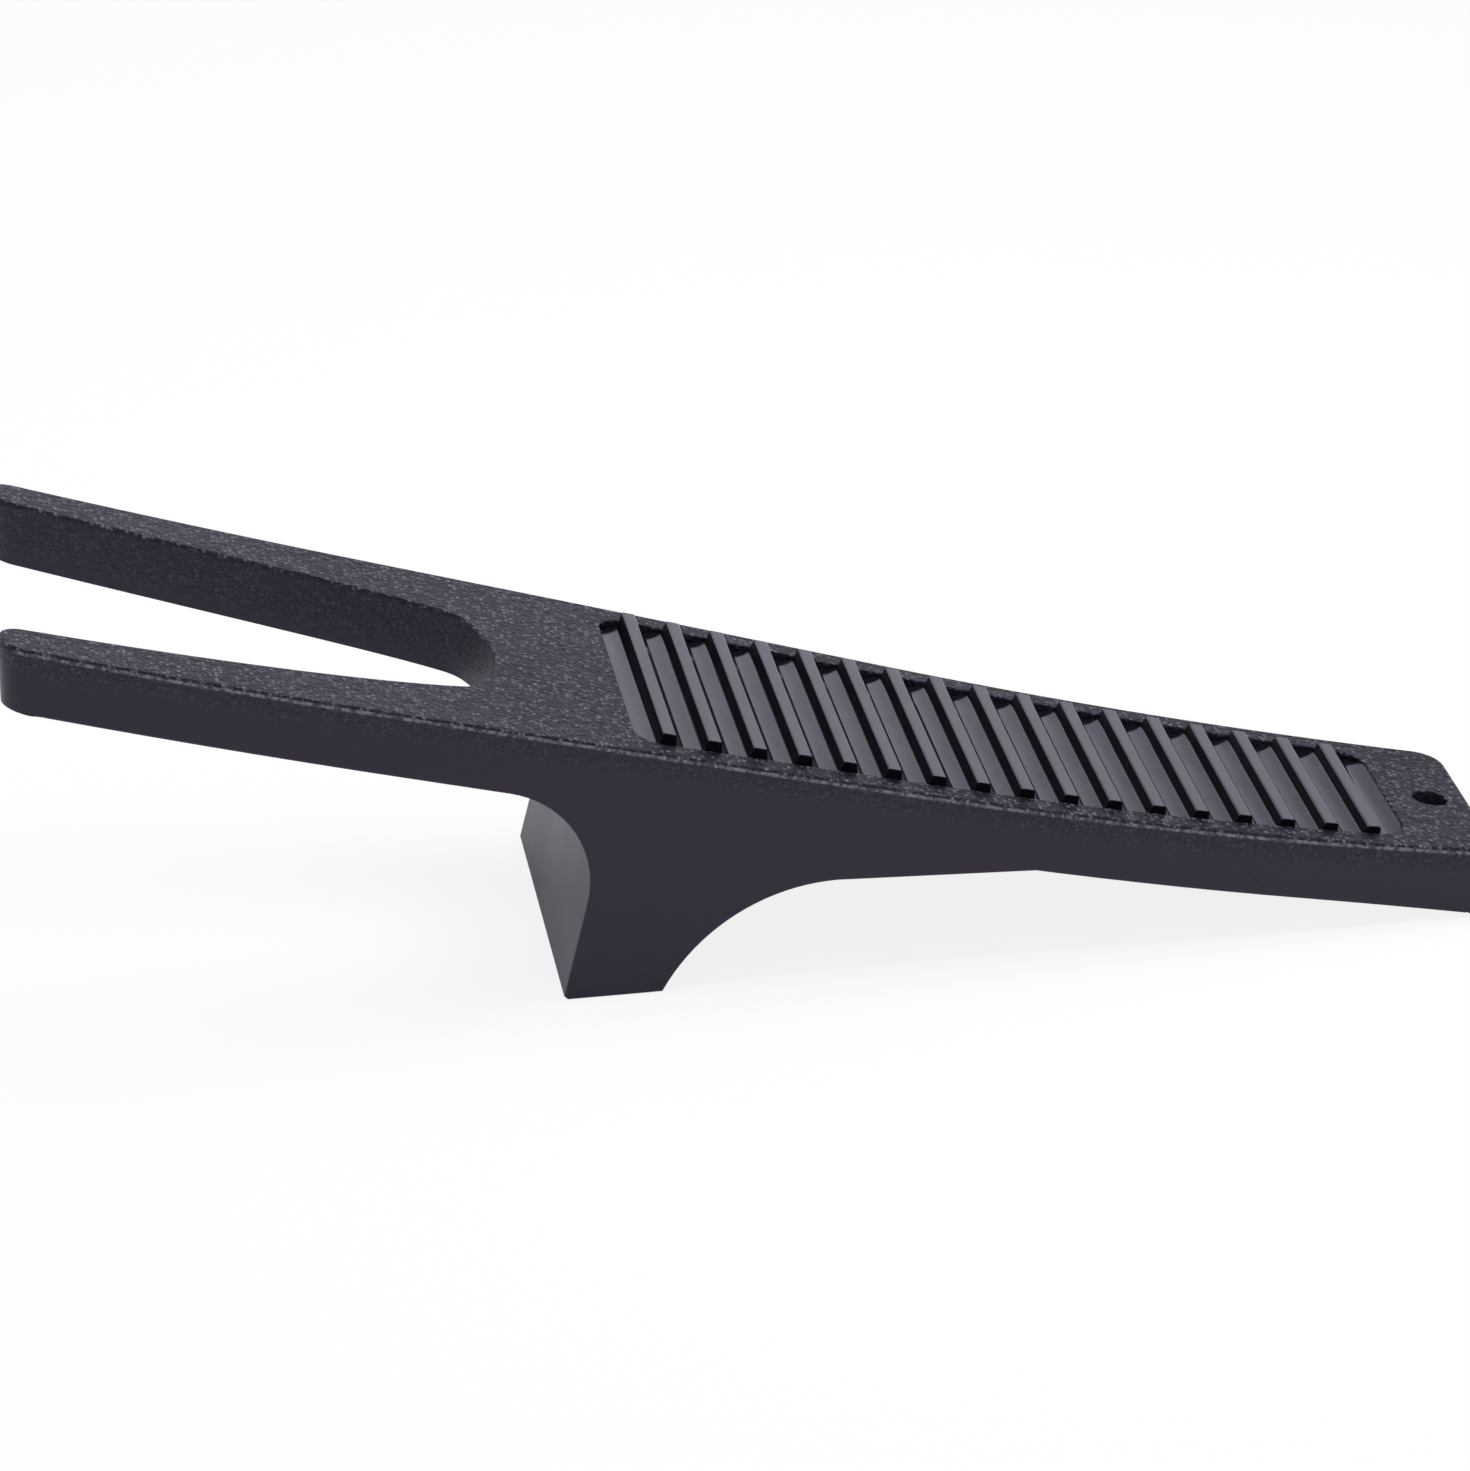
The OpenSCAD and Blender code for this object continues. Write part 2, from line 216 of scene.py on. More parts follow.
@dataclass(frozen=True)
class GrainedShell:
    """Black polypropylene, injection moulded: spark-eroded grain above, plain polish below.

    The grain scatters the studio's light into fine pale specks on the deck; these glints are painted
    into the colour, as is a painted highlight along the rounded top edge of the sides. The grain runs
    out on the top of the sides; the rest of the sides is smooth, and shows a soft, even sheen.
    """

    colour: str = "14121a"
    colour_warm: str = "1c161e"
    # The next two pale colours are painted light: glints on the grain, and a highlight along the top edge.
    painted_glint_colour: str = "72707e"
    painted_highlight_colour: str = "76737c"
    tint: str = "f1e6ff"
    ior: float = 1.49
    roughness_grained: float = 0.50
    roughness_smooth: float = 0.40
    roughness_patches: float = 0.03
    polish: float = 0.05
    grain_mm: float = 0.8
    broad_grain: float = 2.3
    broad_share: float = 0.6
    grain_height_mm: float = 0.7
    grain_ends_mm: tuple[float, float] = (1.2, 5.9)
    wander_mm: float = 7.0
    wander_depth_mm: float = 3.0
    notch_reach: float = 0.42
    glint_mm: float = 0.95
    glint_stretch: tuple[float, float, float] = (0.85, 0.7, 1.0)
    highlight_starts_mm: tuple[float, float] = (0.35, 0.6)
    highlight_ends_mm: tuple[float, float] = (0.95, 1.3)
    patch_mm: float = 26.0

    def heights(self, tree: bpy.types.NodeTree) -> bpy.types.NodeSocket:
        """Adds the heights of the grain, fine pits with broader ones among them.

        Args:
            tree: the material's node tree.

        Returns:
            A socket with the height, about one at the most.
        """
        place = add_node(tree, "ShaderNodeTexCoord")
        # Eroded grain is a few tenths of a millimetre across. It is drawn near a millimetre, as
        # coarse as it needs to be to show.
        stretch = add_node(tree, "ShaderNodeMapping", None,
                           {0: place.outputs["Object"], "Scale": (0.9, 0.9, 1.0)})
        fine = add_node(tree, "ShaderNodeTexNoise", None,
                        {"Vector": stretch.outputs[0], "Scale": scale_of(self.grain_mm),
                         "Detail": 2.0, "Roughness": 0.6})
        broad = add_node(tree, "ShaderNodeTexNoise", None,
                         {"Vector": stretch.outputs[0], "Scale": scale_of(self.grain_mm * self.broad_grain),
                          "Detail": 1.0})
        return add_node(tree, "ShaderNodeMath", {"operation": "MULTIPLY_ADD"},
                        {0: broad.outputs[0], 1: self.broad_share, 2: fine.outputs[0]}).outputs[0]

    def grained(self, tree: bpy.types.NodeTree, deck: DeckCurve,
                depth: bpy.types.NodeSocket) -> bpy.types.NodeSocket:
        """Adds nodes that tell where the grain is.

        Args:
            tree: the material's node tree.
            deck: the deck's curve.
            depth: how far a point is below the deck, in millimetres.

        Returns:
            A socket that is one in the grain and nothing on the smooth sides.
        """
        place = add_node(tree, "ShaderNodeTexCoord")
        # The grain runs out down the side along a wandering line, as the eroded steel does.
        wander = add_node(tree, "ShaderNodeTexNoise", None,
                          {"Vector": place.outputs["Object"], "Scale": scale_of(self.wander_mm), "Detail": 2.0})
        # In the notch it reaches more than twice as far down the walls as on the outside.
        reach = add_node(tree, "ShaderNodeMapRange", None,
                         {"Value": deck.inside_edge(tree), "From Min": 4 * MM, "From Max": 7 * MM,
                          "To Min": 1.0, "To Max": self.notch_reach})
        reach = add_node(tree, "ShaderNodeMath", {"operation": "MULTIPLY"}, {0: reach.outputs[0], 1: depth})
        edge = add_node(tree, "ShaderNodeMath", {"operation": "MULTIPLY_ADD"},
                        {0: wander.outputs[0], 1: -self.wander_depth_mm, 2: reach.outputs[0]})
        return add_node(tree, "ShaderNodeMapRange", SMOOTHSTEP,
                        {"Value": edge.outputs[0], "From Min": self.grain_ends_mm[0],
                         "From Max": self.grain_ends_mm[1], "To Min": 1.0, "To Max": 0.0}).outputs[0]

    def painted_glints(self, tree: bpy.types.NodeTree, depth: bpy.types.NodeSocket,
               grained: bpy.types.NodeSocket) -> bpy.types.NodeSocket:
        """Adds painted glints: the highest points of the grain, painted pale on the deck where they catch the
        light.

        Args:
            tree: the material's node tree.
            depth: how far a point is below the deck, in millimetres.
            grained: where the grain is.

        Returns:
            A socket with how pale a point's painted glint is, up to one.
        """
        place = add_node(tree, "ShaderNodeTexCoord")
        points = add_node(tree, "ShaderNodeMapping", None,
                          {0: place.outputs["Object"], "Scale": self.glint_stretch})
        points = add_node(tree, "ShaderNodeTexVoronoi", None,
                          {"Vector": points.outputs[0], "Scale": scale_of(self.glint_mm), "Randomness": 1.0})
        glint = add_node(tree, "ShaderNodeMapRange", None,
                          {"Value": points.outputs["Distance"], "From Min": 0.15, "From Max": 0.6,
                           "To Min": 1.0, "To Max": 0.0})
        # Some points glint more than others, and those past the edge hardly at all: painted highlights.
        chance = add_node(tree, "ShaderNodeSeparateColor", None, {0: points.outputs["Color"]})
        chance = add_node(tree, "ShaderNodeMapRange", None,
                          {"Value": chance.outputs[0], "From Min": 0.25, "From Max": 1.0})
        on_top = add_node(tree, "ShaderNodeMapRange", None,
                          {"Value": depth, "From Min": 0.2, "From Max": 0.7, "To Min": 1.0, "To Max": 0.22})
        for mask in (chance.outputs[0], on_top.outputs[0], grained):
            glint = add_node(tree, "ShaderNodeMath", {"operation": "MULTIPLY"},
                              {0: glint.outputs[0], 1: mask})
        return glint.outputs[0]

    def painted_rim_highlight(self, tree: bpy.types.NodeTree, deck: DeckCurve, depth: bpy.types.NodeSocket,
            heights: bpy.types.NodeSocket) -> bpy.types.NodeSocket:
        """Adds a painted highlight: a fine broken pale line that runs just under the deck along both sides.

        Args:
            tree: the material's node tree.
            deck: the deck's curve.
            depth: how far a point is below the deck, in millimetres.
            heights: heights of the grain, which break the line.

        Returns:
            A socket with how pale the line is, up to one.
        """
        # The pale line paints the rounded edge's highlight into the colour.
        line = add_node(tree, "ShaderNodeMapRange", SMOOTHSTEP,
                        {"Value": depth, "From Min": self.highlight_starts_mm[0], "From Max": self.highlight_starts_mm[1]})
        ends = add_node(tree, "ShaderNodeMapRange", SMOOTHSTEP,
                        {"Value": depth, "From Min": self.highlight_ends_mm[0], "From Max": self.highlight_ends_mm[1],
                         "To Min": 1.0, "To Max": 0.0})
        outside = add_node(tree, "ShaderNodeMapRange", None,
                           {"Value": deck.inside_edge(tree), "From Min": 0.8 * MM, "From Max": 1.2 * MM,
                            "To Min": 1.0, "To Max": 0.0})
        broken = add_node(tree, "ShaderNodeMapRange", None,
                          {"Value": heights, "From Min": 0.7, "From Max": 0.92, "To Min": 0.18, "To Max": 1.0})
        for mask in (ends, outside, broken):
            line = add_node(tree, "ShaderNodeMath", {"operation": "MULTIPLY"},
                            {0: line.outputs[0], 1: mask.outputs[0]})
        return line.outputs[0]

    def roughness(self, tree: bpy.types.NodeTree, deck: DeckCurve, grained: bpy.types.NodeSocket,
                  patches: bpy.types.NodeSocket) -> bpy.types.NodeSocket:
        """Adds the roughness: duller in the grain, and uneven where hands and boots have been.

        Args:
            tree: the material's node tree.
            deck: the deck's curve.
            grained: where the grain is.
            patches: noise that tells the handled patches apart.

        Returns:
            A socket with the roughness.
        """
        dull = add_node(tree, "ShaderNodeMapRange", None,
                        {"Value": grained, "To Min": self.roughness_smooth, "To Max": self.roughness_grained})
        rough = add_node(tree, "ShaderNodeMapRange", None,
                         {"Value": patches, "From Min": 0.3, "From Max": 0.7,
                          "To Min": -self.roughness_patches, "To Max": self.roughness_patches})
        rough = add_node(tree, "ShaderNodeMath", {"operation": "ADD"},
                         {0: rough.outputs[0], 1: dull.outputs[0]})
        # Boots rub the fork: its grain is more polished towards the tips than at the tail.
        place = add_node(tree, "ShaderNodeTexCoord")
        along = add_node(tree, "ShaderNodeSeparateXYZ", None, {0: place.outputs["Object"]})
        polish = add_node(tree, "ShaderNodeMapRange", None,
                          {"Value": along.outputs[0], "From Min": -deck.half_length * MM,
                           "From Max": deck.half_length * MM, "To Min": -self.polish, "To Max": self.polish})
        return add_node(tree, "ShaderNodeMath", {"operation": "MULTIPLY_ADD"},
                        {0: polish.outputs[0], 1: grained, 2: rough.outputs[0]}).outputs[0]

    def make(self, deck: DeckCurve) -> bpy.types.Material:
        """Makes the moulded shell's material.

        Args:
            deck: the deck's curve, which says where the grain ends.

        Returns:
            The material.
        """
        material = empty_material("moulded_polypropylene_grained")
        tree = material.node_tree
        place = add_node(tree, "ShaderNodeTexCoord")
        depth = deck.below_deck(tree)
        heights = self.heights(tree)
        grained = self.grained(tree, deck, depth)
        bump = add_node(tree, "ShaderNodeBump", None,
                        {"Strength": grained, "Distance": self.grain_height_mm * MM, "Height": heights})
        # Handling has polished some patches of the plastic and dulled others, a few centimetres across.
        patches = add_node(tree, "ShaderNodeTexNoise", None,
                           {"Vector": place.outputs["Object"], "Scale": scale_of(self.patch_mm), "Detail": 3.0})
        colour = add_node(tree, "ShaderNodeMix", {"data_type": "RGBA"},
                          {0: patches.outputs[0], FIRST: linear(self.colour), SECOND: linear(self.colour_warm)})
        # Painted light: glints on the grain and a highlight along the rounded top edge, both mixed pale into
        # the colour.
        for share, pale in ((self.painted_glints(tree, depth, grained), self.painted_glint_colour),
                            (self.painted_rim_highlight(tree, deck, depth, heights), self.painted_highlight_colour)):
            colour = add_node(tree, "ShaderNodeMix", {"data_type": "RGBA"},
                              {0: share, FIRST: colour.outputs[RESULT], SECOND: linear(pale)})
        rough = self.roughness(tree, deck, grained, patches.outputs[0])
        shader = add_node(tree, "ShaderNodeBsdfPrincipled", None,
                          {"Base Color": colour.outputs[RESULT], "Roughness": rough,
                           "Specular Tint": linear(self.tint), "IOR": self.ior, "Normal": bump.outputs[0]})
        add_node(tree, "ShaderNodeOutputMaterial", None, {0: shader.outputs[0]})
        return material


@dataclass(frozen=True)
class PlainShell:
    """The same polypropylene where the mould is plain, in the tread's pocket: black, with a low sheen."""

    colour: str = "121015"
    tint: str = "efe7ff"
    ior: float = 1.49
    roughness: float = 0.34
    roughness_spread: float = 0.04
    cloud_mm: float = 5.0

    def make(self) -> bpy.types.Material:
        """Makes the material of the pocket's walls and floor.

        Returns:
            The material.
        """
        material = empty_material("moulded_polypropylene_plain")
        tree = material.node_tree
        place = add_node(tree, "ShaderNodeTexCoord")
        # Faint clouds about 5 mm across, where the steel was polished unevenly.
        cloud = add_node(tree, "ShaderNodeTexNoise", None,
                         {"Vector": place.outputs["Object"], "Scale": scale_of(self.cloud_mm), "Detail": 2.0})
        rough = add_node(tree, "ShaderNodeMapRange", None,
                         {"Value": cloud.outputs[0], "From Min": 0.3, "From Max": 0.7,
                          "To Min": self.roughness - self.roughness_spread,
                          "To Max": self.roughness + self.roughness_spread})
        shader = add_node(tree, "ShaderNodeBsdfPrincipled", None,
                          {"Base Color": linear(self.colour), "Roughness": rough.outputs[0],
                           "Specular Tint": linear(self.tint), "IOR": self.ior})
        add_node(tree, "ShaderNodeOutputMaterial", None, {0: shader.outputs[0]})
        return material


@dataclass(frozen=True)
class TreadRubber:
    """Black thermoplastic rubber, moulded smooth: a satin gloss, with slight streaks along the ribs."""

    colour: str = "15131a"
    tint: str = "e8e5ff"
    ior: float = 1.62
    roughness: float = 0.13
    specular: float = 0.5
    streak_mm: float = 9.0
    streak_stretch: tuple[float, float, float] = (3.0, 0.6, 1.0)
    streak_height_mm: float = 0.14
    name: str = "moulded_rubber_satin"

    def make(self) -> bpy.types.Material:
        """Makes the tread pad's material.

        Returns:
            The material.
        """
        material = empty_material(self.name)
        tree = material.node_tree
        place = add_node(tree, "ShaderNodeTexCoord")
        # Flow marks of the moulding, about 3 mm wide and 15 mm long, which run along the ribs.
        stretch = add_node(tree, "ShaderNodeMapping", None,
                           {0: place.outputs["Object"], "Scale": self.streak_stretch})
        streak = add_node(tree, "ShaderNodeTexNoise", None,
                          {"Vector": stretch.outputs[0], "Scale": scale_of(self.streak_mm), "Detail": 3.0})
        rough = add_node(tree, "ShaderNodeMapRange", None,
                         {"Value": streak.outputs[0], "From Min": 0.3, "From Max": 0.7,
                          "To Min": self.roughness - 0.05, "To Max": self.roughness + 0.07})
        bump = add_node(tree, "ShaderNodeBump", None,
                        {"Strength": 0.5, "Distance": self.streak_height_mm * MM, "Height": streak.outputs[0]})
        shader = add_node(tree, "ShaderNodeBsdfPrincipled", None,
                          {"Base Color": linear(self.colour), "Roughness": rough.outputs[0],
                           "Specular Tint": linear(self.tint), "Specular IOR Level": self.specular,
                           "IOR": self.ior, "Normal": bump.outputs[0]})
        add_node(tree, "ShaderNodeOutputMaterial", None, {0: shader.outputs[0]})
        return material


class Bench:
    """Hand tools: selecting in edit mode, rounding edges and finishing a mesh."""

    @staticmethod
    def only(piece: bpy.types.Object) -> None:
        """Deselects everything and makes one piece the active, selected one.

        Args:
            piece: the piece to select.
        """
        bpy.ops.object.select_all(action="DESELECT")
        piece.select_set(True)
        bpy.context.view_layer.objects.active = piece

    @staticmethod
    def copy_of(node: bpy.types.Object, name: str) -> bpy.types.Object:
        """Copies a CAD node with its own mesh and joins its loose triangles.

        Args:
            node: the CAD node, which is left alone.
            name: name of the copy.

        Returns:
            The copy, with flat faces dissolved into single ones.
        """
        piece = bpy.data.objects.new(name, node.data.copy())
        bpy.context.scene.collection.objects.link(piece)
        piece.data.materials.clear()
        Bench.only(piece)
        bpy.ops.object.mode_set(mode="EDIT")
        bpy.ops.mesh.select_all(action="SELECT")
        bpy.ops.mesh.remove_doubles(threshold=0.002 * MM)
        bpy.ops.mesh.dissolve_limited(angle_limit=math.radians(0.12), use_dissolve_boundaries=False)
        bpy.ops.object.mode_set(mode="OBJECT")
        return piece

    @staticmethod
    def round_edges(piece: bpy.types.Object, radius_of: Callable[[bmesh.types.BMEdge], float],
                    segments: int) -> int:
        """Rounds edges with a bevel whose radius is set edge by edge.

        Args:
            piece: mesh to round.
            radius_of: gives an edge's radius in millimetres, or nothing at all for a sharp one.
            segments: how many faces make each rounding.

        Returns:
            How many edges are rounded.
        """
        work = bmesh.new()
        work.from_mesh(piece.data)
        layer = work.edges.layers.float.new("bevel_weight_edge")
        radii = {edge: radius_of(edge) for edge in work.edges}
        largest = max(radii.values())
        for edge, radius in radii.items():
            edge[layer] = radius / largest
        work.to_mesh(piece.data)
        work.free()
        Bench.only(piece)
        bevel = piece.modifiers.new("roundings", "BEVEL")
        bevel.limit_method = "WEIGHT"
        bevel.offset_type = "OFFSET"
        bevel.width = largest * MM
        bevel.segments = segments
        bevel.use_clamp_overlap = False
        bpy.ops.object.modifier_apply(modifier=bevel.name)
        return sum(1 for radius in radii.values() if radius > 0)

    @staticmethod
    def dress(piece: bpy.types.Object, finish: bpy.types.Material,
              other: bpy.types.Material, is_other: Callable[[bpy.types.MeshPolygon], bool]) -> None:
        """Gives a piece its finish, and some of its faces a second one.

        Args:
            piece: mesh to dress.
            finish: material of most faces.
            other: material of the faces that are picked.
            is_other: picks those faces.
        """
        piece.data.materials.append(finish)
        piece.data.materials.append(other)
        for face in piece.data.polygons:
            face.material_index = int(is_other(face))

    @staticmethod
    def smooth(piece: bpy.types.Object, angle: float = 28.0) -> None:
        """Smooths the shading and weights the normals by the size of the faces.

        Args:
            piece: mesh to smooth.
            angle: edges flatter than this, in degrees, are shaded smooth.
        """
        Bench.only(piece)
        bpy.ops.object.shade_smooth_by_angle(angle=math.radians(angle))
        modifier = piece.modifiers.new("even_normals", "WEIGHTED_NORMAL")
        modifier.keep_sharp = True
        modifier.weight = 100
        bpy.ops.object.modifier_apply(modifier=modifier.name)


@dataclass
class Shell:
    """The moulded body: deck, prongs, skirt, leg and tail."""

    deck: DeckCurve
    finish: GrainedShell
    pocket_finish: PlainShell
    edge_segments: int = 4
    deck_tolerance_mm: float = 0.2
    end_mm: float = 158.0
    lower_end_mm: float = 157.0
    pocket_mm: tuple[float, float] = (-29.8, 145.0)
    pocket_rim_mm: float = 0.6
    pocket_depth_mm: float = 6.4
    slack_mm: float = 0.3
    side_slack_mm: float = 3.0
    pocket_half_width_mm: float = 30.8
    pocket_taper: float = 0.0678
    hang_hole_x_mm: float = 155.8
    hang_hole_reach_mm: float = 6.0
    name: str = "moulded_shell"

    def is_pocket(self, face: bpy.types.MeshPolygon) -> bool:
        """Tells the pocket's faces from the rest.

        Args:
            face: a face of the rounded body.

        Returns:
            Whether it is a wall or the floor of the tread's pocket.
        """
        x, y, z = face.center / MM
        starts, ends = self.pocket_mm
        half_width = self.pocket_half_width_mm - self.pocket_taper * (x - starts)
        inside = starts - self.slack_mm < x < ends + self.slack_mm and abs(y) < half_width + self.side_slack_mm
        return inside and self.pocket_rim_mm < self.deck.height(x) - z < self.pocket_depth_mm + self.slack_mm

    def radius_of(self, edge: bmesh.types.BMEdge) -> float:
        """Says how much the mould rounds an edge.

        Args:
            edge: an edge of the body, before it is rounded.

        Returns:
            Its radius in millimetres, or nothing at all where it stays sharp.
        """
        if len(edge.link_faces) != 2 or edge.calc_face_angle(0.0) < CREASE or not edge.is_convex:
            return 0.0
        middle = (edge.verts[0].co + edge.verts[1].co) / 2 / MM
        if abs(self.deck.height(middle.x) - middle.z) > self.deck_tolerance_mm:
            on_side = abs(abs(middle.y) - self.deck.half_width(middle.x)) < self.slack_mm
            return Rim.LOWER.value if on_side and abs(middle.x) < self.lower_end_mm else 0.0
        wall = min((face.normal for face in edge.link_faces), key=lambda normal: normal.z)
        if Vector((middle.x - self.hang_hole_x_mm, middle.y)).length < self.hang_hole_reach_mm:
            return Rim.HANG_HOLE.value
        # A wall that looks away from the middle line is outside; at the ends it may look along it.
        outwards = wall.y * middle.y
        least = 0.3 * abs(middle.y)
        if outwards > least or (abs(middle.x) > self.end_mm and outwards > -least):
            return Rim.OUTER.value
        if self.pocket_mm[0] - 1 < middle.x < self.pocket_mm[1] + 1:
            return Rim.POCKET.value
        return Rim.NOTCH.value

    def build(self, node: bpy.types.Object) -> bpy.types.Object:
        """Rounds the body's edges and dresses it.

        Args:
            node: the CAD node of the body.

        Returns:
            The finished piece.
        """
        piece = Bench.copy_of(node, self.name)
        count = Bench.round_edges(piece, self.radius_of, self.edge_segments)
        Bench.smooth(piece)
        Bench.dress(piece, self.finish.make(self.deck), self.pocket_finish.make(), self.is_pocket)
        LOG.info("%s: %d edges rounded, %d faces", self.name, count, len(piece.data.polygons))
        return piece


@dataclass
class TreadPad:
    """The ribbed insert that the other foot stands on."""

    deck: DeckCurve
    finish: TreadRubber
    flank_painted_shade: TreadRubber
    edge_radius_mm: float = 0.28
    edge_segments: int = 3
    rib_top_mm: float = 1.0
    first_foot_mm: float = -25.19
    crease_mm: tuple[float, float] = (-27.7, 1.8)
    channel_radius_mm: float = 10.0
    channel_lean: float = 6.9
    name: str = "tread_insert"

    @staticmethod
    def is_flank(face: bpy.types.MeshPolygon) -> bool:
        """Says whether a face is the fork side or an end of a rib, which gets the painted shade."""
        return face.normal.x < -0.8 or abs(face.normal.y) > 0.7

    def ease_first_bay(self, piece: bpy.types.Object) -> None:
        """Carries the first channel's arc on to the pocket's end, where it has no lip to start from.

        Args:
            piece: the pad's mesh, before it is rounded.
        """
        lean = math.radians(self.channel_lean)
        bottom, depth = self.crease_mm
        centre_x = bottom + self.channel_radius_mm * math.sin(lean)
        centre_z = self.deck.height(bottom) - depth + self.channel_radius_mm * math.cos(lean)
        for vertex in piece.data.vertices:
            x, _, z = vertex.co / MM
            if x < self.first_foot_mm - 0.05 and 0.3 < self.deck.height(x) - z < 3.0:
                vertex.co.z = (centre_z - math.sqrt(self.channel_radius_mm**2 - (x - centre_x) ** 2)) * MM
        piece.data.update()

    def radius_of(self, edge: bmesh.types.BMEdge) -> float:
        """Says how much an edge is rounded; only those along the top of a rib are.

        Args:
            edge: an edge of the pad.

        Returns:
            Its radius in millimetres, or nothing at all where it stays sharp.
        """
        if len(edge.link_faces) != 2 or edge.calc_face_angle(0.0) < CREASE:
            return 0.0
        middle = (edge.verts[0].co + edge.verts[1].co) / 2 / MM
        return self.edge_radius_mm if middle.z - self.deck.height(middle.x) > self.rib_top_mm else 0.0

    def build(self, node: bpy.types.Object) -> bpy.types.Object:
        """Rounds the ribs' edges and dresses the pad.

        Args:
            node: the CAD node of the pad.

        Returns:
            The finished piece.
        """
        piece = Bench.copy_of(node, self.name)
        self.ease_first_bay(piece)
        count = Bench.round_edges(piece, self.radius_of, self.edge_segments)
        Bench.smooth(piece)
        Bench.dress(piece, self.finish.make(), self.flank_painted_shade.make(), self.is_flank)
        LOG.info("%s: %d edges rounded, %d faces", self.name, count, len(piece.data.polygons))
        return piece


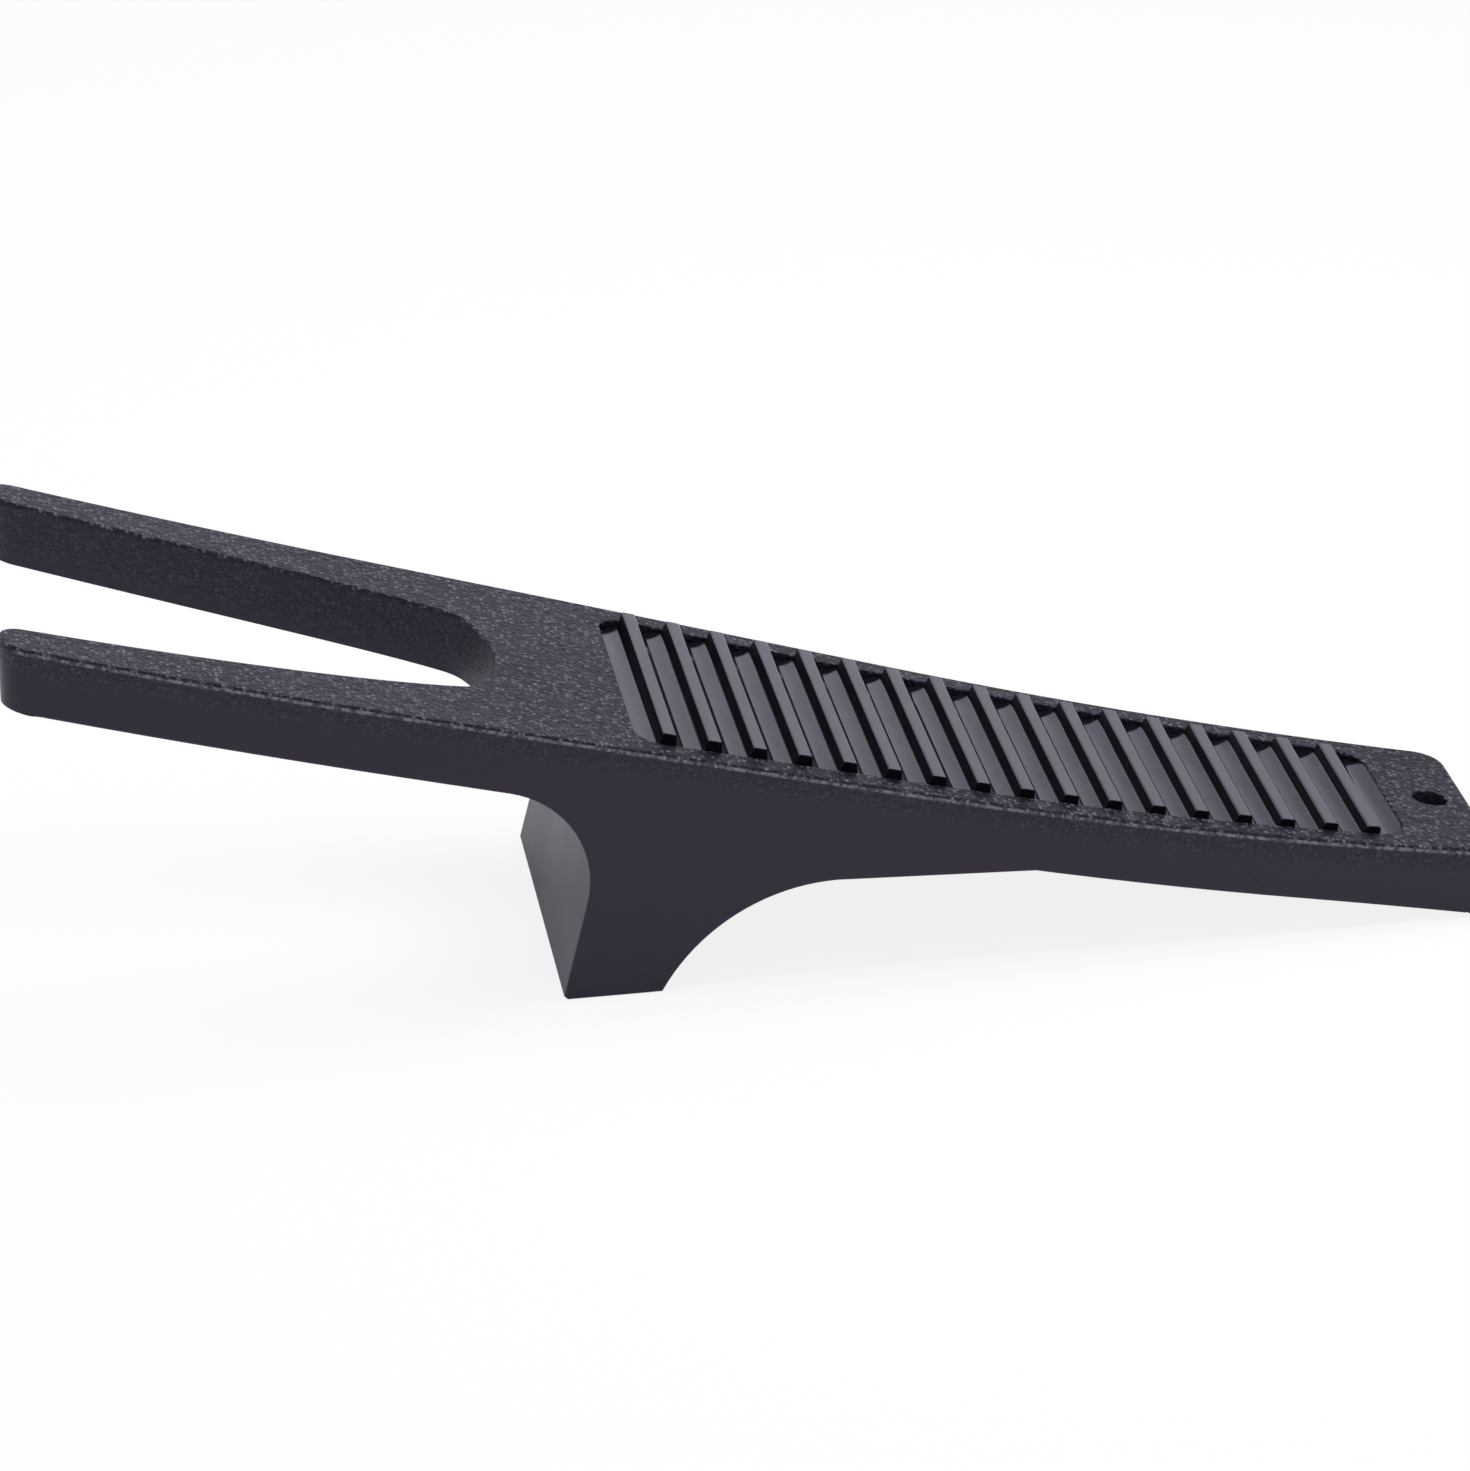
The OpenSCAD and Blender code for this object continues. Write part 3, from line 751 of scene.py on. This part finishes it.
@dataclass
class Studio:
    """Camera, table and plain soft light for a product on white."""

    azimuth: float = -8.092
    elevation: float = 22.591
    lens_mm: float = 148.6
    stand_mm: tuple[float, float, float] = (-178.4, -1231.5, 558.9)
    table_colour: str = "f4f4f4"
    card_colour: str = "f4f1ff"
    diffuse_light: float = 0.45
    dim_room: float = 0.15
    glow_mirrored: float = 0.48
    glow_seen: float = 0.86
    softbox_place: tuple[float, float, float] = (0.15, 0.1, 1.3)
    softbox_size: tuple[float, float] = (1.1, 0.9)
    softbox_watts: float = 15.0

    def camera(self) -> None:
        """Sets the camera at the photograph's viewpoint."""
        a, e = math.radians(self.azimuth), math.radians(self.elevation)
        back = Vector((math.sin(a) * math.cos(e), -math.cos(a) * math.cos(e), math.sin(e)))
        right = Vector((math.cos(a), math.sin(a), 0.0))
        up = back.cross(right)
        data = bpy.data.cameras.new("photo_camera")
        data.sensor_width = 36.0
        data.sensor_fit = "AUTO"
        data.lens = self.lens_mm
        data.clip_end = 20.0
        camera = bpy.data.objects.new("photo_camera", data)
        turn = Matrix((right, up, back)).transposed().to_4x4()
        camera.matrix_world = Matrix.Translation(Vector(self.stand_mm) * MM) @ turn
        bpy.context.scene.collection.objects.link(camera)
        bpy.context.scene.camera = camera

    def seen(self, tree: bpy.types.NodeTree) -> tuple[bpy.types.NodeSocket, bpy.types.NodeSocket]:
        """Adds nodes that tell how a surface of the studio is being seen.

        Args:
            tree: a node tree of the world or of the table.

        Returns:
            One where the camera or a reflection sees it, and one where the camera does.
        """
        path = add_node(tree, "ShaderNodeLightPath")
        mirror = add_node(tree, "ShaderNodeMath", {"operation": "MAXIMUM"},
                          {0: path.outputs["Is Glossy Ray"], 1: path.outputs["Is Transmission Ray"]})
        both = add_node(tree, "ShaderNodeMath", {"operation": "MAXIMUM"},
                        {0: mirror.outputs[0], 1: path.outputs["Is Camera Ray"]})
        return both.outputs[0], path.outputs["Is Camera Ray"]

    def card(self, tree: bpy.types.NodeTree, by_camera: bpy.types.NodeSocket) -> bpy.types.NodeSocket:
        """Adds the colour of the white surroundings: the card's own, and pure white for the camera.

        Args:
            tree: a node tree of the world or of the table.
            by_camera: one where the camera sees them.

        Returns:
            A socket with the colour.
        """
        return add_node(tree, "ShaderNodeMix", {"data_type": "RGBA"},
                        {0: by_camera, FIRST: linear(self.card_colour),
                         SECOND: (1.0, 1.0, 1.0, 1.0)}).outputs[RESULT]

    def world(self) -> None:
        """Plain surroundings: even light, white where the camera or a low reflection sees them."""
        world = bpy.data.worlds.new("studio")
        bpy.context.scene.world = world
        world.use_nodes = True
        tree = world.node_tree
        tree.nodes.clear()
        seen, by_camera = self.seen(tree)
        place = add_node(tree, "ShaderNodeTexCoord")
        axes = add_node(tree, "ShaderNodeSeparateXYZ", None, {0: place.outputs["Generated"]})
        # A reflection that looks up sees the dim room over the table's white sheets.
        low = add_node(tree, "ShaderNodeMapRange", SMOOTHSTEP,
                       {"Value": axes.outputs[2], "From Min": 0.36, "From Max": 0.6,
                        "To Min": 1.0, "To Max": self.dim_room})
        power = add_node(tree, "ShaderNodeMix", {"data_type": "FLOAT"},
                         {0: by_camera, 2: low.outputs[0], 3: 1.0})
        power = add_node(tree, "ShaderNodeMix", {"data_type": "FLOAT"},
                         {0: seen, 2: self.diffuse_light, 3: power.outputs[0]})
        light = add_node(tree, "ShaderNodeBackground", None,
                         {"Color": self.card(tree, by_camera), "Strength": power.outputs[0]})
        add_node(tree, "ShaderNodeOutputWorld", None, {0: light.outputs[0]})

    def table(self) -> None:
        """A wide white table top, which keeps a faint shadow of the jack."""
        bpy.ops.object.select_all(action="DESELECT")
        bpy.ops.mesh.primitive_plane_add(size=8.0, location=(0.0, 0.0, 0.0))
        table = bpy.context.active_object
        table.name = "table_top"
        material = empty_material("matt_white_paper")
        tree = material.node_tree
        seen, by_camera = self.seen(tree)
        paper = add_node(tree, "ShaderNodeBsdfDiffuse", None, {"Color": linear(self.table_colour)})
        white = add_node(tree, "ShaderNodeEmission", None,
                         {"Color": self.card(tree, by_camera), "Strength": 1.0})
        share = add_node(tree, "ShaderNodeMapRange", None,
                         {"Value": by_camera, "To Min": self.glow_mirrored, "To Max": self.glow_seen})
        share = add_node(tree, "ShaderNodeMath", {"operation": "MULTIPLY"}, {0: seen, 1: share.outputs[0]})
        top = add_node(tree, "ShaderNodeMixShader", None,
                       {0: share.outputs[0], 1: paper.outputs[0], 2: white.outputs[0]})
        # From below the table is clear, so that the jack's underside can be looked at.
        below = add_node(tree, "ShaderNodeNewGeometry")
        clear = add_node(tree, "ShaderNodeBsdfTransparent")
        both = add_node(tree, "ShaderNodeMixShader", None,
                        {0: below.outputs["Backfacing"], 1: top.outputs[0], 2: clear.outputs[0]})
        add_node(tree, "ShaderNodeOutputMaterial", None, {0: both.outputs[0]})
        table.data.materials.append(material)

    def softbox(self) -> None:
        """Hangs one soft box over the table, which glossy surfaces don't show."""
        data = bpy.data.lights.new("overhead_softbox", "AREA")
        data.shape = "RECTANGLE"
        data.size, data.size_y = self.softbox_size
        data.energy = self.softbox_watts
        lamp = bpy.data.objects.new("overhead_softbox", data)
        lamp.location = self.softbox_place
        lamp.rotation_euler = (-Vector(self.softbox_place)).to_track_quat("-Z", "Y").to_euler()
        lamp.visible_glossy = False
        bpy.context.scene.collection.objects.link(lamp)

    def build(self) -> None:
        """Sets up the whole studio."""
        self.camera()
        self.world()
        self.table()
        self.softbox()
        bpy.context.scene.view_settings.view_transform = "Standard"


def main() -> None:
    """Builds the jack's pieces and the studio, in order."""
    logging.basicConfig(level=logging.INFO, format="%(name)s: %(message)s")
    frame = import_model()
    deck = DeckCurve()
    shell = Shell(deck, GrainedShell(), PlainShell()).build(frame["nodes"]["body"])
    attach(shell, "root")
    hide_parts("body")
    # Painted shade: the ribs' fork sides and ends get a darker rubber that hardly reflects, so that they stay
    # near black like shade.
    painted_shade_rubber = TreadRubber(colour="100f13", roughness=0.45, specular=0.012, name="moulded_rubber_painted_shade")
    pad = TreadPad(deck, TreadRubber(), painted_shade_rubber).build(frame["nodes"]["tread_pad"])
    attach(pad, "root")
    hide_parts("tread_pad")
    Studio().build()


if __name__ == "__main__":
    main()
